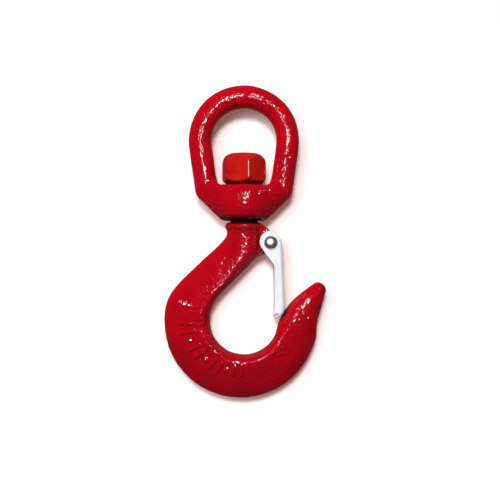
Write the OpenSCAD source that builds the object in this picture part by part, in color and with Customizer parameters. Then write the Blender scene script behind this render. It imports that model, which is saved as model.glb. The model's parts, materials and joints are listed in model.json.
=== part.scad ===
// Swivel hook: a forged eye that turns on the shank of a forged hook, with a sprung latch.
// Millimetres, +Z up. The origin is the inner crown of the eye, on the swivel axis.
// +X is the side of the hook's tip, and Y runs through the hook's thickness.

/* [Eye] */
// Inner radius of the eye's round crown
eye_r = 14.9; // [14.6:0.1:15.2]
// Diameter of the round stock that the eye is forged from
stock_d = 10.4; // [10:0.1:10.8]
// Lean of the two legs towards the shank, in degrees
leg_lean = 8; // [7:0.5:9]
// Depth from the crown to the floor of the eye
floor_depth = 35.5; // [35.2:0.1:35.8]
// Depth from the crown to the foot of the base
foot_depth = 51.8; // [51.4:0.1:52]
// Radius of the base at its foot
foot_r = 10; // [9.6:0.1:10.4]
// Radius of the base at its widest, through the thickness
boss_r = 12.4; // [12:0.1:13]
// Half depth of the base at its foot, through the thickness
foot_y = 8.4; // [8.2:0.1:9]

/* [Shank and nut] */
// Radius of the plain shank
shank_r = 6; // [5.6:0.1:6.2]
// Nut width across flats
nut_af = 18; // [17.6:0.1:18.4]
// Height of the nut
nut_h = 14.2; // [13.8:0.1:14.4]
// Turn of the nut's front corner towards the tip, in degrees
nut_turn = 12.5; // [0:0.5:30]
// Radius of the pin that locks the nut on the shank
lock_r = 1.5; // [1.2:0.1:1.8]

/* [Hook] */
// Radius of the bowl's inner side
bowl_r = 15.7; // [15.4:0.1:15.9]
// Radius of the hook's back, round the outside of the bowl
back_r = 35; // [34.6:0.1:35.4]
// Depth from the crown to the middle of the bowl
bowl_depth = 97.4; // [97:0.1:97.8]
// Radius of the rounded tip
tip_r = 3.75; // [3.4:0.05:3.9]
// Radius of the neck under the collar
neck_r = 7.6; // [7.2:0.1:7.8]
// Radius of the collar that bears under the base
collar_r = 8.8; // [8.6:0.1:9.2]
// Thickness of the lug that carries the latch
lug_t = 6; // [5.6:0.1:6]

/* [Latch] */
// Gap between the latch's two side flanges
latch_gap = 10.8; // [10.6:0.1:11.2]
// Thickness of the latch's sheet
sheet_t = 1.2; // [1:0.1:1.3]
// Lean of the closed latch towards the tip, in degrees
latch_lean = 2.7; // [2.5:0.1:3.3]
// Radius of the flanges' round ends
lobe_r = 5.1; // [4.9:0.1:5.3]
// Radius of the rivet's shaft
rivet_r = 2; // [1.8:0.1:2.1]
// Radius of the rivet's domed heads
rivet_head_r = 3.1; // [2.8:0.1:3.3]
// Wire radius of the latch spring
wire_r = 0.35; // [0.25:0.05:0.35]

/* [Hidden] */
$fn = 96;

red = [0.74, 0.02, 0.08];
zinc = [0.82, 0.86, 0.90];
steel = [0.62, 0.60, 0.58];

// Running clearance of a shaft in its hole, and slack of a fixed one
running = 0.08;
slack = 0.03;

stock_r = stock_d / 2;
ring_r = eye_r + stock_r;
leg_end = 37.4;
leg_len = (leg_end - eye_r - ring_r * sin(leg_lean)) / cos(leg_lean);
leg_foot_x = ring_r * cos(leg_lean) - leg_len * sin(leg_lean);

pad_top = 0.2 - floor_depth;
nut_foot = pad_top + 0.2;
nut_top = nut_foot + nut_h;
shank_top = nut_top - 0.6;
collar_top = -52.4;
collar_h = 4.6;

pivot = [12.15, -61.6];
flange_in = latch_gap / 2;
flange_out = flange_in + sheet_t;
rivet_half = flange_out + 0.1;

// ---- Curves shared by the forged pieces ----

// Catmull-Rom curve through the rows of a list, where t counts the rows
function curve(rows, t) =
    let (i = min(floor(t), len(rows) - 2), u = t - i)
    let (a = rows[max(i - 1, 0)], b = rows[i], c = rows[i + 1], d = rows[min(i + 2, len(rows) - 1)])
    0.5 * (2 * b + (c - a) * u + (2 * a - 5 * b + 4 * c - d) * u ^ 2 + (3 * b - a - 3 * c + d) * u ^ 3);

// Side faces between rings of points, with a flat cap at each end
function ring_faces(rings, sides) = concat(
    [for (i = [0:rings - 2], j = [0:sides - 1])
        [i * sides + j, (i + 1) * sides + (j + 1) % sides, i * sides + (j + 1) % sides]],
    [for (i = [0:rings - 2], j = [0:sides - 1])
        [i * sides + j, (i + 1) * sides + j, (i + 1) * sides + (j + 1) % sides]],
    [[for (j = [0:sides - 1]) j]],
    [[for (j = [sides - 1:-1:0]) (rings - 1) * sides + j]]
);

// Turns an XZ outline into a plate that is centred on Y
module plate(thickness) {
    rotate([90, 0, 0]) linear_extrude(thickness, center = true) children();
}

// ---- Eye ----

module eye_leg() {
    rotate([0, leg_lean, 0])
        translate([ring_r, 0, -leg_len]) cylinder(h = leg_len, r = stock_r);
}

// The eye's centre is the middle of its crown
module eye_loop() {
    translate([0, 0, -eye_r]) {
        rotate([90, leg_lean, 0]) rotate_extrude(angle = 180 + 2 * leg_lean)
            translate([ring_r, 0]) circle(stock_r);
        eye_leg();
        mirror([1, 0, 0]) eye_leg();
    }
}

// The base curves in to its foot through the thickness, and runs straight to it from the legs
module base_form() {
    foot_curve = 8;
    hull() {
        translate([0, 0, -foot_depth]) scale([1, foot_y / foot_r, 1]) cylinder(h = 1, r = foot_r, $fn = 48);
        for (t = [0, 0.35, 0.6, 0.8, 0.93])
            translate([0, 0, foot_curve * (1 - t) - foot_depth])
                cylinder(h = 0.5, r = foot_y + (boss_r - foot_y) * sqrt(1 - t * t), $fn = 48);
        translate([0, 0, -foot_depth + 13]) cylinder(h = 3.6, r1 = boss_r, r2 = boss_r - 1.9, $fn = 48);
        for (side = [-1, 1])
            translate([side * leg_foot_x, 0, -leg_end]) sphere(stock_r, $fn = 32);
    }
}

// Space inside the eye, down to its floor, with rounded corners at the legs
module eye_space() {
    corner_r = 1.7;
    half = leg_foot_x - stock_r + 0.1;
    plate(60) polygon(concat(
        [for (a = [180:15:270]) [corner_r * (1 + cos(a)) - half, corner_r * (1 + sin(a)) - floor_depth]],
        [for (a = [270:15:360]) [half - corner_r * (1 - cos(a)), corner_r * (1 + sin(a)) - floor_depth]],
        [[half + 1.4, -24], [-half - 1.4, -24]]
    ));
}

module swivel_bail() {
    color(red) difference() {
        union() {
            eye_loop();
            difference() {
                base_form();
                eye_space();
            }
            translate([0, 0, -floor_depth - 1]) cylinder(h = 1 + floor_depth + pad_top, r = 9.2);
        }
        translate([0, 0, -foot_depth - 1]) cylinder(h = foot_depth + pad_top + 2, r = shank_r + running);
    }
}

// ---- Hook ----

// Each row is one section: inner x and z, outer x and z, half thickness, and how far it is from
// round (0) to the forged wedge (1)
arm_rows = [
    [neck_r - 0.2, -54.5, 0.2 - neck_r, -54.5, neck_r - 0.2, 0],
    [neck_r, -58, -neck_r, -56.2, neck_r, 0],
    [7.7, -62.5, -7.6, -57.8, 7.6, 0],
    [6.8, -66.7, -8.4, -59.2, 7.7, 0.2],
    [4.0, -70.1, -9.9, -60.9, 7.9, 0.5],
    [0, -74.1, -12.2, -63.3, 8.1, 0.8],
    [-5.2, -79.6, -17.3, -68.0, 8.3, 1],
    [-10.0, -84.3, -22.2, -72.6, 8.4, 1],
    [-12.9, -87.9, -28.0, -78.2, 8.5, 1],
    [-14.9, -91.9, -33.2, -84.3, 8.6, 1]
];

bowl_mid = [0, -bowl_depth];
back_mid = [-1.5, -bowl_depth - 0.1];
bowl_rows = [for (a = [170:15:335]) concat(
    bowl_mid + bowl_r * [cos(a), sin(a)],
    back_mid + back_r * [cos(a), sin(a)],
    [8.7 - 1.1 * pow(max(0, a - 245) / 90, 2), 1 + 0.2 * min(1, max(0, a - 185) / 30)]
)];

point_rows = [
    [15.7, -98.6, 33.1, -105.0, 7.3, 0.8],
    [17.4, -94.7, 33.5, -99.6, 6.9, 0.6],
    [19.9, -90.8, 34.3, -95.0, 6.3, 0.45],
    [23.0, -87.3, 35.4, -91.2, 5.6, 0.3],
    [26.8, -84.0, 36.4, -88.0, 4.8, 0.15]
];

tip_mid = [33.85, -83.45];
tip_turn = 50;
tip_along = [cos(tip_turn), sin(tip_turn)];
tip_across = [sin(tip_turn), -cos(tip_turn)];
tip_rows = [for (a = [0, 25, 47, 65, 79])
    let (mid = tip_mid + tip_r * sin(a) * tip_along, half = tip_r * cos(a))
    concat(mid - half * tip_across, mid + half * tip_across, [half, 0])
];

hook_rows = concat(arm_rows, bowl_rows, point_rows, tip_rows);
row_steps = 2;
section_sides = 32;

function signed_power(v, e) = sign(v) * pow(abs(v), e);

// One point of a section. The wedge has a blunt inner side up to its crest, where it is thickest,
// and thins from there to its outer side.
function section_point(row, a) =
    let (wedge = row[5], e = 2 / (2 + 0.5 * wedge), crest = 0.6 * wedge)
    let (c = signed_power(cos(a), e), v = signed_power(sin(a), e) * (1 - 0.26 * wedge * max(0, c)))
    let (u = c * (c < 0 ? 1 - crest : 1 + crest) - crest)
    let (x = (row[0] + row[2] + u * (row[2] - row[0])) / 2, z = (row[1] + row[3] + u * (row[3] - row[1])) / 2)
    [x, row[4] * v, z];

module hook_forging() {
    rings = (len(hook_rows) - 1) * row_steps + 1;
    points = [for (i = [0:rings - 1], j = [0:section_sides - 1])
        section_point(curve(hook_rows, i / row_steps), 360 * j / section_sides)];
    polyhedron(points, ring_faces(rings, section_sides), convexity = 6);
}

// Collar and shank, turned about the swivel axis
module shank() {
    rim_r = 1.8;
    rotate_extrude() polygon(concat(
        [[0, collar_top - collar_h - 1], [neck_r - 0.6, collar_top - collar_h - 1]],
        [[neck_r - 0.1, collar_top - collar_h + 0.4], [neck_r + 0.5, collar_top - 3]],
        [for (a = [-30:20:90]) [collar_r - rim_r + rim_r * cos(a), collar_top - rim_r + rim_r * sin(a)]],
        [[shank_r + 0.6, collar_top], [shank_r, collar_top + 0.4], [shank_r, pad_top - 0.6]],
        [[shank_r - 0.25, pad_top - 0.1], [shank_r - 0.25, shank_top - 0.7], [shank_r - 0.95, shank_top]],
        [[0, shank_top]]
    ));
}

// The lug's end is round where the latch's web turns over it, and stands higher above that
module lug_outline() {
    lug_r = 3.2;
    rise = 1.1;
    translate(pivot) circle(lug_r);
    polygon(concat(
        [[0, -54], [8.6, -53.2]],
        [for (a = [52:-8:20]) pivot + (lug_r + rise * (a - 20) / 32) * [cos(a), sin(a)]],
        [pivot, pivot + lug_r * [cos(-66), sin(-66)], [6.6, -67.9], [2, -69]]
    ));
}

module hook_body() {
    color(red) difference() {
        union() {
            hook_forging();
            shank();
            plate(lug_t) lug_outline();
        }
        translate([pivot[0], 0, pivot[1]]) rotate([90, 0, 0])
            cylinder(h = 2 * flange_in, r = rivet_r + slack, center = true);
        lock_place() cylinder(h = 30, r = lock_r + slack, center = true);
    }
}

// ---- Nut ----

// Along the pin that passes through the nut and the shank, below the nut's top
module lock_place() {
    translate([0, 0, nut_foot + nut_h * 0.48]) rotate([0, 90, nut_turn]) children();
}

module shank_nut() {
    corner = nut_af / sqrt(3);
    color(red) difference() {
        intersection() {
            translate([0, 0, nut_foot]) rotate([0, 0, nut_turn - 90])
                cylinder(h = nut_h, r = corner, $fn = 6);
            rotate_extrude() polygon([[0, nut_foot], [corner - 2.4, nut_foot], [corner - 1.9, nut_foot + 1],
                [corner - 0.9, nut_foot + 1.5], [corner + 0.1, nut_foot + 2.6], [corner + 0.1, nut_top - 4.4],
                [corner - 0.9, nut_top - 2.4], [corner - 2.4, nut_top - 0.8], [6.5, nut_top], [0, nut_top]]);
        }
        translate([0, 0, nut_foot - 1]) cylinder(h = nut_h + 2, r = shank_r - 0.25 + slack);
        lock_place() cylinder(h = 30, r = lock_r + slack, center = true);
    }
}

module nut_lock_pin() {
    color(steel) lock_place() difference() {
        cylinder(h = nut_af - 0.6, r = lock_r, center = true);
        cylinder(h = nut_af, r = lock_r * 0.5, center = true);
    }
}

// ---- Latch ----

// Latch frame: the pivot is its origin, u points to the web and w runs down the web
web_u = 5.05;
web_top = -1.65;
curl_r = 5.5;
curl_mid = [web_u - curl_r, 28.9];
curl_turn = 84;
flange_low = 32;
lobe_mid = [0.1, -0.4];

module latch_place() {
    translate([pivot[0], 0, pivot[1]]) rotate([0, -latch_lean, 0]) mirror([0, 0, 1]) children();
}

function arc(mid, r, from, to, steps) =
    [for (i = [0:steps]) let (a = from + (to - from) * i / steps) mid + r * [cos(a), sin(a)]];

// The latch from the side: round lobe, relief notch, straight web and curled end
module latch_outline() {
    polygon(concat(
        [[web_u, web_top + 0.5]],
        arc(curl_mid, curl_r, 0, curl_turn, 14),
        arc(curl_mid, curl_r - sheet_t, curl_turn, 48, 6),
        [[0.35, flange_low], [-0.25, flange_low - 0.8], [0.45, 27.5], [0.95, 10.2]],
        arc(lobe_mid, lobe_r, 145, 303, 28),
        [[3.2, -2.9], [3.6, -2], [4.6, web_top]]
    ));
}

// Room between the flanges, up to the web's inner face
module latch_pocket() {
    polygon(concat(
        [[-9, -9], [9, -9], [9, web_top], [web_u - sheet_t, web_top]],
        arc(curl_mid, curl_r - sheet_t, 0, curl_turn, 14),
        [[-9, curl_mid[1] + curl_r - sheet_t - 0.1]]
    ));
}

module latch() {
    color(zinc) latch_place() difference() {
        plate(2 * flange_out) latch_outline();
        plate(2 * flange_in) latch_pocket();
        rotate([90, 0, 0]) cylinder(h = 4 * flange_out, r = rivet_r + running, center = true);
    }
}

module latch_rivet() {
    dome_h = 1.9;
    dome_r = (pow(rivet_head_r, 2) + pow(dome_h, 2)) / (2 * dome_h);
    color(steel) translate([pivot[0], 0, pivot[1]]) rotate([90, 0, 0]) {
        cylinder(h = 2 * rivet_half + 0.4, r = rivet_r, center = true);
        for (side = [0, 1]) mirror([0, 0, side]) intersection() {
            translate([0, 0, rivet_half]) cylinder(h = dome_h, r = rivet_head_r);
            translate([0, 0, rivet_half + dome_h - dome_r]) sphere(dome_r);
        }
    }
}

// ---- Spring ----

coil_r = 2.85;
coil_turns = 1.5;
coil_in = lug_t / 2 + 0.25 + wire_r;
coil_out = flange_in - 0.2 - wire_r;
wire_sides = 8;

// Half of the spring: a foot on the neck, one coil round the rivet, and half of the bow that
// presses on the inside of the latch's web
function coil_point(t) =
    let (a = 180 - 360 * coil_turns * t, y = coil_in + (coil_out - coil_in) * t)
    [pivot[0] + coil_r * cos(a), y, pivot[1] + coil_r * sin(a)];

foot_half = [
    [6.7, coil_in, -67.4], [7.5, coil_in, -66.6], [8.4, coil_in, -65.5], [9.1, coil_in, -64.3],
    [9.2, coil_in, -63]
];
bow_low = [16.2, -75];
bow_half = [
    [15.25, coil_out, -63.5], [15.8, coil_out, -68], [bow_low[0], coil_out, bow_low[1] + 1.2],
    [bow_low[0], coil_out - 0.4, bow_low[1] + 0.3], [bow_low[0], coil_out - 1.3, bow_low[1]],
    [bow_low[0], 0.9, bow_low[1]]
];
coil_steps = 32;
half_path = concat(foot_half, [for (i = [0:coil_steps]) coil_point(i / coil_steps)], bow_half);
spring_path = concat(
    half_path,
    [for (i = [len(half_path) - 1:-1:0]) [half_path[i][0], -half_path[i][1], half_path[i][2]]]
);

function unit(v) = v / norm(v);

// Ring of wire round one point of the path, square to it
function wire_ring(path, i) =
    let (along = unit(path[min(i + 1, len(path) - 1)] - path[max(i - 1, 0)]))
    let (side = unit(cross(along, [1, 1, 1])), up = cross(along, side))
    [for (j = [0:wire_sides - 1])
        path[i] + wire_r * (cos(360 * j / wire_sides) * side + sin(360 * j / wire_sides) * up)];

module latch_spring() {
    rings = len(spring_path);
    points = [for (i = [0:rings - 1], p = wire_ring(spring_path, i)) p];
    color(steel) polyhedron(points, ring_faces(rings, wire_sides), convexity = 8);
}

swivel_bail();
hook_body();
shank_nut();
nut_lock_pin();
latch();
latch_rivet();
latch_spring();
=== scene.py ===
"""Looks of the swivel hook: red enamelled forgings, a zinc plated latch and its small steel parts.

Lengths are written in millimetres and turned into metres where they reach Blender.
"""

import json
import math

import bmesh
import bpy
import numpy as np
from mathutils import Matrix, Vector, noise


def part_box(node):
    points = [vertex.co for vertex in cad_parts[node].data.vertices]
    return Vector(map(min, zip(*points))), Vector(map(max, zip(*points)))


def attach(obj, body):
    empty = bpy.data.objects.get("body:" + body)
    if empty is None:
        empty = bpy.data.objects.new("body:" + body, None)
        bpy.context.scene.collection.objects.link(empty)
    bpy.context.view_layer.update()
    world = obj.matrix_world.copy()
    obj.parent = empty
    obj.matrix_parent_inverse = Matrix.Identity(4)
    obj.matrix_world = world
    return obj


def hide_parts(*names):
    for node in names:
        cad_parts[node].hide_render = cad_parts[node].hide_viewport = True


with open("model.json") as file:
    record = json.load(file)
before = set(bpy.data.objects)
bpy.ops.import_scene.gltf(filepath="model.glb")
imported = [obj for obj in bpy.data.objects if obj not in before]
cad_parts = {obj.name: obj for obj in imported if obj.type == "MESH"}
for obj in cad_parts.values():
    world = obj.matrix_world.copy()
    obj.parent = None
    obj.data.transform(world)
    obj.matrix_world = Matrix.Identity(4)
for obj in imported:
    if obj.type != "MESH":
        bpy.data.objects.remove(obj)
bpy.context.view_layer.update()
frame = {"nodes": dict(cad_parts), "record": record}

MM = 0.001


# ---- Sizes that the pieces share with the CAD ----

def box_mm(node):
    """Lowest and highest corner of a CAD node in millimetres."""
    low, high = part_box(node)
    return np.array(low) / MM, np.array(high) / MM


def joint_point(name):
    """Where a joint's axis passes, in millimetres."""
    joint = [j for j in frame["record"]["behaviour"]["joints"] if j["name"] == name][0]
    return np.array(joint["pos_m"]) / MM


PIN_LOW, PIN_HIGH = box_mm("nut_lock_pin")
RIVET_LOW, RIVET_HIGH = box_mm("latch_rivet")
PIVOT = joint_point("latch_hinge")

# The swivel, from the hook's collar up: the gap, the eye's base, the nut and the shank's end
SWIVEL_GAP = 0.6
NUT_GAP = 0.2
BASE_FOOT = box_mm("swivel_bail")[0][2]
COLLAR_TOP = BASE_FOOT - SWIVEL_GAP
PAD_TOP = box_mm("shank_nut")[0][2] - NUT_GAP
SHANK_TOP = box_mm("hook_body")[1][2]
SHANK_R = 6.0
THREAD_R = 5.75
BORE_R = 6.08
NUT_TURN = math.radians(12.5)

# The middle of the bowl's arc as x and z
BOWL_MID = np.array([0.0, -97.4])

# The latch's lean at rest and the outer face of its flanges
LATCH_LEAN = math.radians(2.7)
FLANGE_OUT = box_mm("latch")[1][1]

# Size of the small quads of each skin
BAIL_VOXEL = 0.34
HOOK_VOXEL = 0.375
NUT_VOXEL = 0.24
LATCH_VOXEL = 0.17
# Points of the CAD mesh closer than this are one point
WELD = 0.002


# ---- Dense skins: meshes held as arrays while they are worked ----

class Skin:
    """A dense mesh whose points are held in millimetres."""

    def __init__(self, mesh):
        self.mesh = mesh
        count = len(mesh.vertices)
        points = np.empty(count * 3)
        mesh.vertices.foreach_get("co", points)
        self.points = points.reshape(-1, 3) / MM
        ends = np.empty(len(mesh.edges) * 2, dtype=np.int32)
        mesh.edges.foreach_get("vertices", ends)
        self.ends = ends.reshape(-1, 2)
        self.degree = np.bincount(ends, minlength=count).astype(float)[:, None]

    def average(self, values):
        """Each point's mean of its neighbours' values."""
        first, second = self.ends.T
        total = np.empty_like(values)
        for k in range(values.shape[1]):
            total[:, k] = (
                np.bincount(first, values[second, k], len(values))
                + np.bincount(second, values[first, k], len(values))
            )
        return total / self.degree

    def relaxed(self, values, rounds, strength=0.5):
        """Values spread evenly over the skin by that many rounds of averaging."""
        for _ in range(rounds):
            values = values + strength * (self.average(values) - values)
        return values

    def smooth(self, rounds, strength=0.5):
        """Rounds off edges, and takes volume from them."""
        self.points = self.relaxed(self.points, rounds, strength)

    def smooth_full(self, rounds):
        """Rounds off facets and gives back the volume that smoothing took."""
        soft = self.relaxed(self.points, rounds)
        self.points = soft + self.relaxed(self.points - soft, rounds)

    def normals(self):
        """Each point's outward direction."""
        self.write()
        normals = np.empty(len(self.points) * 3)
        self.mesh.vertex_normals.foreach_get("vector", normals)
        return normals.reshape(-1, 3)

    def write(self):
        """Puts the points back into the mesh."""
        self.mesh.vertices.foreach_set("co", (self.points * MM).ravel())
        self.mesh.update()

    def radial(self):
        """Each point's distance from the swivel axis."""
        return np.hypot(self.points[:, 0], self.points[:, 1])

    def snap_round(self, radius, reach, low, high):
        """Puts the points near a round wall on the swivel axis exactly on it."""
        away = self.radial()
        near = (np.abs(away - radius) < reach) & (self.points[:, 2] > low) & (self.points[:, 2] < high)
        self.points[near, :2] *= (radius / away[near])[:, None]


def ramp(values, start, end):
    """0 before start, 1 after end and a smooth step between, in either order."""
    t = np.clip((values - start) / (end - start), 0.0, 1.0)
    return t * t * (3.0 - 2.0 * t)


def noise_at(points, size, seed):
    """Smooth noise from -1 to 1 whose lumps are about that many millimetres across."""
    shift = Vector((seed * 13.7, seed * 7.3, seed * 3.1))
    return np.array([noise.noise(Vector(p) / size + shift) for p in points])


def welded_copy(node):
    """A copy of a CAD node's mesh with its split corners joined."""
    mesh = frame["nodes"][node].data.copy()
    form = bmesh.new()
    form.from_mesh(mesh)
    bmesh.ops.remove_doubles(form, verts=form.verts, dist=WELD * MM)
    form.to_mesh(mesh)
    form.free()
    mesh.materials.clear()
    return mesh


def evaluated_mesh(mesh, add_modifiers):
    """The mesh after modifiers that add_modifiers puts on a passing object."""
    holder = bpy.data.objects.new("holder", mesh)
    bpy.context.collection.objects.link(holder)
    add_modifiers(holder)
    depsgraph = bpy.context.evaluated_depsgraph_get()
    result = bpy.data.meshes.new_from_object(holder.evaluated_get(depsgraph))
    bpy.data.objects.remove(holder)
    return result


def remeshed(node, voxel):
    """An even skin of small quads round a CAD node."""
    def add_modifiers(holder):
        remesh = holder.modifiers.new("remesh", "REMESH")
        remesh.mode = "VOXEL"
        remesh.voxel_size = voxel * MM
        remesh.adaptivity = 0.0
    return Skin(evaluated_mesh(welded_copy(node), add_modifiers))


# ---- Materials ----

class Nodes:
    """A short way to lay out a material's nodes."""

    def __init__(self, name):
        self.material = bpy.data.materials.new(name)
        self.material.use_nodes = True
        self.tree = self.material.node_tree
        self.shader = self.tree.nodes["Principled BSDF"]
        self.place = self.add("ShaderNodeTexCoord").outputs["Object"]

    def add(self, kind, **settings):
        """A new node with its settings."""
        node = self.tree.nodes.new(kind)
        for key, value in settings.items():
            setattr(node, key, value)
        return node

    def link(self, output, socket):
        """Joins an output to an input."""
        self.tree.links.new(output, socket)

    def noise(self, size, detail=2.0, stretch=None):
        """Noise output whose lumps are about size millimetres across."""
        node = self.add("ShaderNodeTexNoise")
        node.inputs["Scale"].default_value = 1.0 / (size * MM)
        node.inputs["Detail"].default_value = detail
        place = self.place
        if stretch:
            mapping = self.add("ShaderNodeMapping")
            mapping.inputs["Scale"].default_value = stretch
            self.link(place, mapping.inputs["Vector"])
            place = mapping.outputs["Vector"]
        self.link(place, node.inputs["Vector"])
        return node.outputs["Fac"]

    def span(self, value, low, high, to_low, to_high):
        """Maps a value from one range to another."""
        node = self.add("ShaderNodeMapRange")
        node.inputs["From Min"].default_value = low
        node.inputs["From Max"].default_value = high
        node.inputs["To Min"].default_value = to_low
        node.inputs["To Max"].default_value = to_high
        self.link(value, node.inputs["Value"])
        return node.outputs["Result"]

    def mix(self, factor, first, second):
        """A colour between two, each a colour or an output."""
        node = self.add("ShaderNodeMix", data_type="RGBA")
        self.link(factor, node.inputs["Factor"])
        for value, index in ((first, 6), (second, 7)):
            if isinstance(value, tuple):
                node.inputs[index].default_value = (*value, 1.0)
            else:
                self.link(value, node.inputs[index])
        return node.outputs[2]

    def product(self, first, second):
        """One value times another."""
        node = self.add("ShaderNodeMath", operation="MULTIPLY")
        self.link(first, node.inputs[0])
        self.link(second, node.inputs[1])
        return node.outputs[0]

    def sharpness(self):
        """Over 0.5 on edges, 0.5 on flats and less in hollows."""
        geometry = self.add("ShaderNodeNewGeometry")
        return geometry.outputs["Pointiness"]

    def height(self):
        """Height in metres in the part's own frame."""
        split = self.add("ShaderNodeSeparateXYZ")
        self.link(self.place, split.inputs["Vector"])
        return split.outputs["Z"]

    def open_air(self, reach):
        """1 where nothing is within reach millimetres and less in gaps and corners."""
        node = self.add("ShaderNodeAmbientOcclusion", samples=8)
        node.inputs["Distance"].default_value = reach * MM
        return node.outputs["AO"]

    def bump(self, heights):
        """Bump from (height output, distance in mm, strength) rows, one on another."""
        normal = None
        for height, distance, strength in heights:
            node = self.add("ShaderNodeBump")
            node.inputs["Distance"].default_value = distance * MM
            node.inputs["Strength"].default_value = strength
            self.link(height, node.inputs["Height"])
            if normal is not None:
                self.link(normal, node.inputs["Normal"])
            normal = node.outputs["Normal"]
        self.link(normal, self.shader.inputs["Normal"])

    def set(self, **values):
        """Sets the shader's own sockets, which are the same all over."""
        for key, value in values.items():
            self.shader.inputs[key.replace("_", " ")].default_value = value


# Colour of the painted shade in gaps and corners, where little light reaches
OCCLUSION_SHADE_COLOUR = (0.05, 0.0, 0.002)
# Colour of the painted shade round the swivel's gap
SWIVEL_SHADE_COLOUR = (0.035, 0.0, 0.002)


def swivel_gap_shade(n):
    """1 round the gap of the swivel and 0 elsewhere: where painted shade darkens the gap."""
    over = n.span(n.height(), (BASE_FOOT + 3.0) * MM, (BASE_FOOT + 0.9) * MM, 0.0, 1.0)
    under = n.span(n.height(), (COLLAR_TOP - 1.2) * MM, (COLLAR_TOP - 0.3) * MM, 0.0, 1.0)
    return n.product(over, under)


def enamel(name, body, deep, bright, ripple=0.56):
    """Glossy paint over rough steel: lighter on edges from thin paint and a painted highlight, darker in
    hollows from pooled paint and painted shade, with painted shade in gaps and round the swivel's gap.
    """
    n = Nodes(name)
    cloud = n.noise(9.0, detail=3.0)
    colour = n.mix(n.span(cloud, 0.35, 0.65, 0.0, 1.0), body, deep)
    # Lighter on edges: paint worn thin there, and a painted highlight on the rims.
    edges = n.span(n.sharpness(), 0.52, 0.62, 0.0, 1.0)
    colour = n.mix(edges, colour, bright)
    # Darker in hollows: paint pooled there, and painted shade in the creases.
    hollows = n.span(n.sharpness(), 0.48, 0.40, 0.0, 1.0)
    colour = n.mix(hollows, colour, deep)
    # Painted shade: darker where ambient occlusion finds nearby surfaces.
    occlusion_shade = n.span(n.open_air(3.2), 0.72, 0.32, 0.0, 1.0)
    colour = n.mix(occlusion_shade, colour, OCCLUSION_SHADE_COLOUR)
    # Painted shade on the eye's foot and the collar's top, round the swivel's gap.
    colour = n.mix(swivel_gap_shade(n), colour, SWIVEL_SHADE_COLOUR)
    n.link(colour, n.shader.inputs["Base Color"])
    n.link(n.span(n.noise(4.0, detail=1.0), 0.40, 0.65, 0.05, 0.10), n.shader.inputs["Roughness"])
    rough_parts = n.span(n.noise(13.0, detail=1.0), 0.38, 0.60, 0.50, 1.0)
    n.bump([(n.product(n.noise(1.5, detail=1.0), rough_parts), ripple, 1.0)])
    n.set(Specular_IOR_Level=0.5)
    return n.material


def zinc(name):
    """Bright zinc plate, drawn lengthwise, worn bright on edges and darker in hollows and inner corners.
    """
    n = Nodes(name)
    cloud = n.noise(5.0, detail=4.0)
    colour = n.mix(n.span(cloud, 0.3, 0.7, 0.0, 1.0), (0.82, 0.85, 0.87), (0.93, 0.95, 0.97))
    wear = n.span(n.sharpness(), 0.55, 0.70, 0.0, 1.0)
    colour = n.mix(wear, colour, (0.97, 0.98, 1.0))
    # Darker where the surface is hollow, by pointiness alone.
    hollow_darkening = n.span(n.sharpness(), 0.46, 0.34, 0.0, 1.0)
    colour = n.mix(hollow_darkening, colour, (0.42, 0.45, 0.47))
    n.link(colour, n.shader.inputs["Base Color"])
    scratches = n.noise(0.35, detail=2.0, stretch=(6.0, 1.0, 0.25))
    n.link(n.span(scratches, 0.3, 0.7, 0.30, 0.48), n.shader.inputs["Roughness"])
    n.bump([(n.noise(1.6, detail=3.0), 0.03, 0.5), (scratches, 0.008, 0.4)])
    n.set(Metallic=0.25)
    return n.material


def bare_steel(name, light, dark, rough_low, rough_high, metallic=1.0):
    """Unpainted steel between two colours and two roughnesses."""
    n = Nodes(name)
    cloud = n.noise(1.8, detail=4.0)
    n.link(n.mix(n.span(cloud, 0.3, 0.7, 0.0, 1.0), light, dark), n.shader.inputs["Base Color"])
    n.link(n.span(n.noise(0.7, detail=3.0), 0.3, 0.7, rough_low, rough_high), n.shader.inputs["Roughness"])
    n.bump([(n.noise(0.5, detail=3.0), 0.01, 0.5)])
    n.set(Metallic=metallic)
    return n.material


def finish_piece(name, mesh, body, node, material):
    """Puts a finished mesh in the scene as the piece that stands for a CAD node."""
    mesh.materials.clear()
    mesh.materials.append(material)
    mesh.polygons.foreach_set("use_smooth", [True] * len(mesh.polygons))
    mesh.polygons.foreach_set("material_index", [0] * len(mesh.polygons))
    mesh.update()
    piece = bpy.data.objects.new(name, mesh)
    bpy.context.collection.objects.link(piece)
    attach(piece, body)
    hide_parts(node)
    return piece


# ---- Forgings ----

def forge(skin, mask, seed, scales):
    """Moves points in and out like scale and hammer marks, where mask lets it."""
    normals = skin.normals()
    height = np.zeros(len(skin.points))
    for k, (size, amount) in enumerate(scales):
        height += amount * noise_at(skin.points, size, seed + k)
    skin.points += normals * (height * mask)[:, None]


# Size and depth of the lumps on a forging and on the machined nut
FORGED = [(7.0, 0.12), (3.2, 0.06), (1.6, 0.05)]
MACHINED = [(4.0, 0.05), (1.5, 0.02)]
# Rounds of smoothing that melt the facets of a forging
FACET_ROUNDS = 30
# Number of marks round the bowl, and the sizes of its ribs and studs
BOWL_MARKS = 11
RIB_WIDE = 1.0
RIB_LIFT = 0.6
STUD = 1.5


def bar(across, along, wide, high):
    """Height from 0 to 1 of a raised bar with soft sides, from distances off its middle."""
    soft = 0.35
    return ramp(np.abs(across), wide / 2 + soft, wide / 2) * ramp(np.abs(along), high / 2 + soft, high / 2)


def front_facing(skin):
    """1 on the faces that look to the front and 0 on the sides and the back."""
    return ramp(-skin.normals()[:, 1], 0.3, 0.7)


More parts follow.
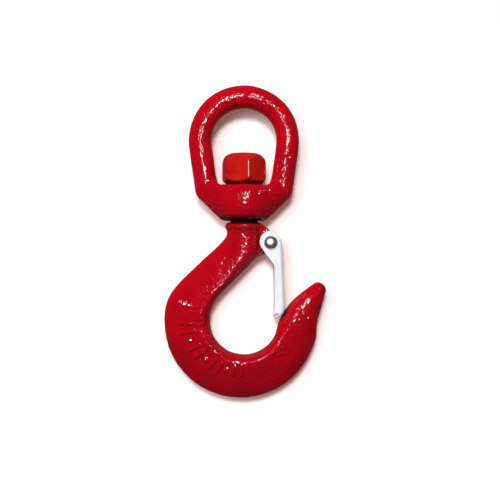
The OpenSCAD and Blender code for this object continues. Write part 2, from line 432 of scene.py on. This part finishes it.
def raise_mark(skin, front, at, turn, wide, high, lift, lean_up, lean_right):
    """Raises a small flat-topped mark on the front. Its top leans by two angles in degrees."""
    away_x, away_z = skin.points[:, 0] - at[0], skin.points[:, 2] - at[1]
    cos, sin = math.cos(turn), math.sin(turn)
    mask = bar(away_z * cos - away_x * sin, away_x * cos + away_z * sin, wide, high) * front
    middle_r = 0.4
    middle = (np.hypot(away_x, away_z) < middle_r) & (front > 0.5)
    face = skin.points[middle, 1].mean() - lift
    top = face + away_z * math.tan(math.radians(lean_up)) + away_x * math.tan(math.radians(lean_right))
    skin.points[:, 1] += mask * (np.minimum(top, skin.points[:, 1] - 0.1) - skin.points[:, 1])


def raise_rib(skin, front, height, amount):
    """Lifts the front along its own normals by a height map."""
    skin.points += skin.normals() * (height * front * amount)[:, None]


def mark_bowl(skin):
    """Plain raised ribs, with a stud at every third place, that follow the bowl's front.

    A mark's place is its angle round the bowl in degrees and its distance from the bowl's middle.
    From the arm down to the foot the marks come closer to the middle and the ribs get shorter.
    """
    front = front_facing(skin)
    x, z = skin.points[:, 0] - BOWL_MID[0], skin.points[:, 2] - BOWL_MID[1]
    reach = np.hypot(x, z)
    turn = np.degrees(np.arctan2(z, x)) % 360.0
    height = np.zeros(len(skin.points))
    studs = []
    for k in range(BOWL_MARKS):
        part = k / (BOWL_MARKS - 1)
        at = 181.0 + 86.0 * part
        middle = 26.0 - 4.6 * part
        rib_length = 6.4 - 1.8 * part
        if k % 3 == 2:
            studs.append((at, middle, STUD, STUD))
        else:
            across = np.radians(turn - at) * middle
            height = np.maximum(height, bar(across, reach - middle, RIB_WIDE, rib_length))
    raise_rib(skin, front, height, RIB_LIFT)
    arm_at, arm_middle = 162.0, 28.0
    for row, wide in ((-2.2, 1.6), (0.0, 2.4), (2.2, 1.6)):
        studs.append((arm_at, arm_middle + row, wide, 1.4))
    for at, middle, wide, high in studs:
        angle = math.radians(at)
        place = BOWL_MID + middle * np.array([math.cos(angle), math.sin(angle)])
        raise_mark(skin, front, place, angle, wide, high, lift=0.5, lean_up=10.0, lean_right=6.0)


def mark_base(skin):
    """Small raised studs, given as x, z, width and height, on the front of the bail's base."""
    front = front_facing(skin)
    upright = math.radians(90.0)
    studs = [
        (-2.4, -39.0, 1.7, 1.5), (-2.6, -41.7, 1.0, 0.9), (-2.8, -44.9, 0.8, 0.8),
        (5.4, -39.2, 0.9, 1.9), (7.4, -39.2, 1.1, 1.7), (9.6, -38.9, 1.0, 1.2), (11.9, -38.1, 0.9, 0.9),
    ]
    for at_x, at_z, wide, high in studs:
        place = (at_x, at_z)
        raise_mark(skin, front, place, upright, wide, high, lift=0.4, lean_up=4.0, lean_right=2.5)


def make_bail():
    """The eye and its base, with a softly rounded foot and a true bore."""
    skin = remeshed("swivel_bail", BAIL_VOXEL)
    skin.smooth_full(FACET_ROUNDS)
    skin.smooth(12)
    near_foot = ramp(skin.points[:, 2], BASE_FOOT + 4.6, BASE_FOOT + 1.6)
    skin.smooth(100, 0.5 * near_foot[:, None])
    mouth = 0.7
    skin.snap_round(BORE_R, 0.5, BASE_FOOT + mouth, PAD_TOP - mouth)
    below_pad = skin.points[:, 2] < PAD_TOP + 0.4
    in_bore = (skin.radial() < BORE_R + 1.0) & below_pad
    forge(skin, np.where(in_bore, 0.0, 1.0), 1, FORGED)
    mark_base(skin)
    skin.write()
    return skin.mesh


def make_hook():
    """The hook with a melted neck below its collar, a true shank, a flat lug and its marks."""
    skin = remeshed("hook_body", HOOK_VOXEL)
    skin.smooth_full(FACET_ROUNDS)
    z = skin.points[:, 2]
    neck_low, neck_high = -70.0, -52.6
    neck = ramp(z, neck_low, neck_low + 4.0) * ramp(z, neck_high, neck_high - 1.9)
    skin.smooth(24, 0.5 * neck[:, None])
    skin.snap_round(SHANK_R, 0.5, COLLAR_TOP + 0.8, PAD_TOP - 1.0)
    skin.snap_round(THREAD_R, 0.5, PAD_TOP, SHANK_TOP - 0.9)
    x, z = skin.points[:, 0], skin.points[:, 2]
    lug_side, lug_foot = 8.5, -66.5
    lug = (x > lug_side) & (z > lug_foot)
    mask = np.where(lug, 0.15, 1.0) * ramp(z, COLLAR_TOP + 0.2, COLLAR_TOP - 1.0)
    forge(skin, mask, 11, FORGED)
    mark_bowl(skin)
    skin.write()
    return skin.mesh


def make_nut():
    """The nut with rounded corners, which are let out by what the rounding took."""
    skin = remeshed("shank_nut", NUT_VOXEL)
    skin.smooth(24)
    away = skin.radial()
    let_out = 0.022 * ramp(away, 7.0, 8.5)
    skin.points[:, :2] *= (1.0 + let_out)[:, None]
    mask = np.where(away < THREAD_R + 0.8, 0.0, 1.0)
    forge(skin, mask, 21, MACHINED)
    skin.write()
    return skin.mesh


# ---- Latch and small parts ----

def latch_frame(points):
    """Points as the latch's own u, y and w: u towards the web, w down along it."""
    x, z = points[:, 0] - PIVOT[0], points[:, 2] - PIVOT[2]
    cos, sin = math.cos(LATCH_LEAN), math.sin(LATCH_LEAN)
    return np.stack([x * cos + z * sin, points[:, 1], x * sin - z * cos], axis=1)


def from_latch_frame(local):
    """Points given as u, y and w back in the part's frame."""
    u, y, w = local.T
    cos, sin = math.cos(LATCH_LEAN), math.sin(LATCH_LEAN)
    return np.stack([PIVOT[0] + u * cos + w * sin, y, PIVOT[2] + u * sin - w * cos], axis=1)


def make_latch():
    """The latch, whose web is folded to the flanges with a round edge that follows its curl."""
    web_u, curl_r, curl_w = 5.05, 5.5, 28.9
    fold_r = 1.5
    skin = remeshed("latch", LATCH_VOXEL)
    local = latch_frame(skin.points)
    u, y, w = local.T
    curl_u = web_u - curl_r
    reach = np.hypot(u - curl_u, w - curl_w)
    in_curl = w > curl_w
    out_u = np.where(in_curl, (u - curl_u) / reach, 1.0)
    out_w = np.where(in_curl, (w - curl_w) / reach, 0.0)
    depth = np.where(in_curl, curl_r - reach, web_u - u)
    along = fold_r - depth
    across = np.abs(y) - (FLANGE_OUT - fold_r)
    length = np.hypot(along, across)
    corner = (along > 0) & (across > 0) & (length > fold_r)
    pull = np.where(corner, fold_r / np.maximum(length, 1e-6) - 1.0, 0.0)
    u += out_u * along * pull
    w += out_w * along * pull
    y += np.sign(y) * across * pull
    skin.points = from_latch_frame(np.stack([u, y, w], axis=1))
    skin.smooth(4)
    skin.write()
    return skin.mesh


def lathe(profile, steps, start=0.0, sweep=2.0 * math.pi):
    """A bmesh turned about its own Z from (radius, height) points in millimetres."""
    form = bmesh.new()
    closed = abs(sweep - 2.0 * math.pi) < 1e-6
    columns = steps if closed else steps + 1
    grid = []
    for radius, height in profile:
        if radius < 1e-6:
            grid.append([form.verts.new((0.0, 0.0, height * MM))] * columns)
            continue
        grid.append([
            form.verts.new((
                radius * math.cos(start + sweep * k / steps) * MM,
                radius * math.sin(start + sweep * k / steps) * MM,
                height * MM,
            ))
            for k in range(columns)
        ])
    for lower, upper in zip(grid, grid[1:]):
        for k in range(steps):
            nxt = (k + 1) % columns
            corners = []
            for vert in (lower[k], lower[nxt], upper[nxt], upper[k]):
                if vert not in corners:
                    corners.append(vert)
            if len(corners) > 2:
                form.faces.new(corners)
    return form


def to_mesh(form, name, matrix):
    """The form as a mesh, put in its place."""
    bmesh.ops.transform(form, matrix=matrix, verts=form.verts)
    bmesh.ops.recalc_face_normals(form, faces=form.faces)
    mesh = bpy.data.meshes.new(name)
    form.to_mesh(mesh)
    form.free()
    return mesh


def make_rivet():
    """The latch's rivet with a domed head at each end."""
    head_r = (RIVET_HIGH[0] - RIVET_LOW[0]) / 2
    dome = 1.9
    half = RIVET_HIGH[1] - dome
    shaft = 2.0
    upper = [(shaft, 0.0), (shaft, half), (head_r - 0.15, half), (head_r, half + 0.12)]
    arc_steps = 14
    for k in range(1, arc_steps + 1):
        a = math.radians(90.0 * k / arc_steps)
        upper.append((head_r * math.cos(a), half + dome * math.sin(a)))
    lower = [(r, -h) for r, h in reversed(upper[1:])]
    form = lathe(lower + upper, steps=72)
    place = Matrix.Translation(Vector(PIVOT * MM)) @ Matrix.Rotation(math.radians(90.0), 4, "X")
    return to_mesh(form, "rivet", place)


def make_pin():
    """The rolled pin, slotted along its length, that locks the nut."""
    radius = (PIN_HIGH[2] - PIN_LOW[2]) / 2
    inner = radius * 0.5
    span_x = PIN_HIGH[0] - PIN_LOW[0]
    length = (span_x - 2 * radius * math.sin(NUT_TURN)) / math.cos(NUT_TURN)
    half = length / 2
    soft = 0.3
    upper = [
        (radius, half - soft), (radius - soft * 0.3, half - soft * 0.4),
        (radius - soft, half), (inner + 0.1, half), (inner, half - 0.1),
    ]
    lower = [(r, -h) for r, h in reversed(upper)]
    slot = math.radians(28)
    form = lathe(lower + upper + lower[:1], steps=44, start=slot / 2, sweep=2.0 * math.pi - slot)
    bmesh.ops.remove_doubles(form, verts=form.verts, dist=0.001 * MM)
    bmesh.ops.holes_fill(form, edges=[e for e in form.edges if e.is_boundary])
    middle = (PIN_LOW + PIN_HIGH) / 2
    place = (
        Matrix.Translation(Vector(middle * MM))
        @ Matrix.Rotation(NUT_TURN, 4, "Z")
        @ Matrix.Rotation(math.radians(90.0), 4, "Y")
    )
    return to_mesh(form, "pin", place)


def make_spring():
    """The spring's wire with its facets rounded."""
    def add_modifiers(holder):
        subsurf = holder.modifiers.new("round", "SUBSURF")
        subsurf.levels = 1
    return evaluated_mesh(welded_copy("latch_spring"), add_modifiers)


RED = enamel("red_enamel", (0.62, 0.0, 0.010), (0.50, 0.0, 0.008), (0.70, 0.01, 0.015))
NUT_RED = enamel(
    "nut_enamel", (0.70, 0.016, 0.006), (0.58, 0.004, 0.006), (0.80, 0.05, 0.02), ripple=0.08,
)
ZINC = zinc("zinc_plate")
RIVET_STEEL = bare_steel(
    "polished_steel", (0.80, 0.76, 0.70), (0.62, 0.58, 0.53), 0.14, 0.26, metallic=0.9,
)
PIN_STEEL = bare_steel("oiled_steel", (0.34, 0.33, 0.32), (0.22, 0.21, 0.20), 0.3, 0.45)
WIRE_STEEL = bare_steel("drawn_wire", (0.38, 0.38, 0.39), (0.24, 0.24, 0.25), 0.28, 0.42)

pieces = [
    finish_piece("bail_forging", make_bail(), "bail", "swivel_bail", RED),
    finish_piece("hook_forging", make_hook(), "hook", "hook_body", RED),
    finish_piece("painted_nut", make_nut(), "hook", "shank_nut", NUT_RED),
    finish_piece("roll_pin", make_pin(), "hook", "nut_lock_pin", PIN_STEEL),
    finish_piece("latch_plate", make_latch(), "latch", "latch", ZINC),
    finish_piece("latch_rivet_domes", make_rivet(), "hook", "latch_rivet", RIVET_STEEL),
    finish_piece("spring_wire_form", make_spring(), "hook", "latch_spring", WIRE_STEEL),
]


# ---- Stage ----

# What the camera sees at the part's middle plane, from how far and round which point
VIEW_WIDTH = 229.0
CAMERA_BACK = 330.0
AIM = Vector((2.8, 0.0, -64.9))
# The upper part that the key light is aimed at
CROWN = Vector((0.0, 0.0, -36.0))
# The backdrop's distance behind AIM and its lean away at the top, in degrees
BACKDROP_Y = 46.0
BACKDROP_TILT = 6.0


def collection_of(name, objects):
    """A group of objects that a light can be limited to."""
    group = bpy.data.collections.new(name)
    for item in objects:
        group.objects.link(item)
    return group


def add_light(name, receivers, place, aim, wide, power, gloss=True, diffuse=True, kind="AREA"):
    """A round light at a place in millimetres that falls only on its receivers."""
    data = bpy.data.lights.new(name, kind)
    data.energy = power
    if kind == "AREA":
        data.shape = "DISK"
        data.size = wide * MM
    else:
        data.shadow_soft_size = wide / 2 * MM
    light = bpy.data.objects.new(name, data)
    light.location = Vector(place) * MM
    light.rotation_euler = (Vector(aim) - Vector(place)).to_track_quat("-Z", "Y").to_euler()
    bpy.context.collection.objects.link(light)
    light.light_linking.receiver_collection = receivers
    light.visible_glossy = gloss
    light.visible_diffuse = diffuse
    return light


def direction(azimuth, elevation):
    """The way to a place round the part. Azimuth 0 is in front, 90 at +X."""
    a, e = math.radians(azimuth), math.radians(elevation)
    return Vector((math.sin(a) * math.cos(e), -math.cos(a) * math.cos(e), math.sin(e)))


def paper_material():
    """Matt paper, darker in the middle, that is see-through from behind and to shadow rays."""
    n = Nodes("backdrop_paper")
    from_middle = n.add("ShaderNodeVectorMath", operation="LENGTH")
    n.link(n.place, from_middle.inputs[0])
    outwards = n.span(from_middle.outputs["Value"], 0.03, 0.15, 0.0, 1.0)
    n.link(n.mix(outwards, (0.80, 0.80, 0.80), (0.98, 0.98, 0.98)), n.shader.inputs["Base Color"])
    n.set(Roughness=0.9, Specular_IOR_Level=0.0)
    # The paper glows faintly red-orange: a painted fill light in its shadows and a painted red bounce from
    # the part.
    n.set(Emission_Color=(1.0, 0.40, 0.28, 1.0), Emission_Strength=0.15)
    clear = n.add("ShaderNodeBsdfTransparent")
    behind = n.add("ShaderNodeNewGeometry").outputs["Backfacing"]
    shadow_ray = n.add("ShaderNodeLightPath").outputs["Is Shadow Ray"]
    either = n.add("ShaderNodeMath", operation="MAXIMUM")
    n.link(behind, either.inputs[0])
    n.link(shadow_ray, either.inputs[1])
    mix = n.add("ShaderNodeMixShader")
    n.link(either.outputs[0], mix.inputs["Fac"])
    n.link(n.shader.outputs["BSDF"], mix.inputs[1])
    n.link(clear.outputs["BSDF"], mix.inputs[2])
    n.link(mix.outputs["Shader"], n.tree.nodes["Material Output"].inputs["Surface"])
    return n.material


def make_backdrop():
    """A pale upright sheet behind the part, clear of the hook's swing, seen from the front only."""
    half = 400.0
    form = bmesh.new()
    bmesh.ops.create_grid(form, x_segments=2, y_segments=2, size=half * MM)
    mesh = bpy.data.meshes.new("backdrop")
    form.to_mesh(mesh)
    form.free()
    mesh.materials.append(paper_material())
    sheet = bpy.data.objects.new("backdrop", mesh)
    sheet.location = Vector((AIM.x, BACKDROP_Y, AIM.z)) * MM
    sheet.rotation_euler = (math.radians(90.0 - BACKDROP_TILT), 0.0, 0.0)
    sheet.visible_glossy = False
    bpy.context.collection.objects.link(sheet)
    return sheet


def make_world():
    """Dim grey light all round, and a pale background where the camera sees past the sheet."""
    world = bpy.data.worlds.new("studio")
    world.use_nodes = True
    bpy.context.scene.world = world
    tree = world.node_tree
    dim = tree.nodes["Background"]
    dim.inputs["Color"].default_value = (0.95, 0.97, 1.0, 1.0)
    dim.inputs["Strength"].default_value = 0.06
    pale = tree.nodes.new("ShaderNodeBackground")
    pale.inputs["Color"].default_value = (0.93, 0.93, 0.93, 1.0)
    mix = tree.nodes.new("ShaderNodeMixShader")
    path = tree.nodes.new("ShaderNodeLightPath")
    tree.links.new(path.outputs["Is Camera Ray"], mix.inputs["Fac"])
    tree.links.new(dim.outputs["Background"], mix.inputs[1])
    tree.links.new(pale.outputs["Background"], mix.inputs[2])
    tree.links.new(mix.outputs["Shader"], tree.nodes["World Output"].inputs["Surface"])


def make_camera():
    """A level camera straight in front."""
    data = bpy.data.cameras.new("camera")
    data.sensor_width = 36.0
    data.lens = data.sensor_width * CAMERA_BACK / VIEW_WIDTH
    data.clip_start = 0.01
    camera = bpy.data.objects.new("camera", data)
    camera.location = (AIM + Vector((0.0, -CAMERA_BACK, 0.0))) * MM
    camera.rotation_euler = (math.radians(90.0), 0.0, 0.0)
    bpy.context.collection.objects.link(camera)
    bpy.context.scene.camera = camera


def only(name):
    """A group that holds the one piece of that name, for a light of its own."""
    return collection_of("lit_" + name, [item for item in pieces if item.name == name])


def light_part(part, red):
    """The key light, which gives no gloss, and the lights that give only gloss."""
    high_left = CROWN + direction(-13, 29) * 560
    above = AIM + direction(5, 14) * 600
    add_light("key", part, high_left, CROWN, wide=150, power=3.0, gloss=False)
    add_light("sparkle", red, above, AIM, wide=88, power=2.1, diffuse=False)
    add_light("sheen", red, above, AIM, wide=420, power=0.16, diffuse=False)


def light_small_parts(latch, nut, rivet):
    """Lights of their own for the pale latch, the nut's corner and the rivet's dome."""
    latch_low = AIM + direction(10, -12) * 500
    latch_front = AIM + direction(4, -7) * 600
    nut_side = CROWN + direction(8, 12) * 600
    rivet_side = AIM + direction(-8, 14) * 400
    add_light("latch_fill", latch, latch_low, AIM, wide=200, power=1.15, gloss=False)
    add_light("latch_gleam", latch, latch_front, AIM, wide=160, power=0.12, diffuse=False)
    add_light("nut_gleam", nut, nut_side, CROWN, wide=240, power=4.0, diffuse=False)
    add_light("rivet_gleam", rivet, rivet_side, AIM, wide=560, power=1.1, diffuse=False)


def light_back(part):
    """Soft lights from behind, without gloss so that they leave the front's outline alone."""
    add_light("rear_left", part, AIM + direction(155, 35) * 500, AIM, wide=300, power=0.36, gloss=False)
    add_light("rear_right", part, AIM + direction(-130, 10) * 500, AIM, wide=300, power=0.2, gloss=False)


def light_paper(paper):
    """Two lamps that throw the sharper and the softer shadow on the backdrop."""
    above = AIM + Vector((-3, -375, 33))
    above_left = AIM + Vector((-33, -375, 27))
    add_light("shadow_near", paper, above, AIM, wide=22, power=5.0, kind="POINT")
    add_light("shadow_wide", paper, above_left, AIM, wide=72, power=3.9, kind="POINT")


backdrop = make_backdrop()
part = collection_of("lit_part", pieces)
latch = only("latch_plate")
red = collection_of("lit_red", [item for item in pieces if item.name != "latch_plate"])
nut = only("painted_nut")
rivet = only("latch_rivet_domes")
paper = collection_of("lit_paper", [backdrop])
make_world()
make_camera()
light_part(part, red)
light_small_parts(latch, nut, rivet)
light_back(part)
light_paper(paper)

view = bpy.context.scene.view_settings
view.view_transform = "Standard"
view.look = "None"
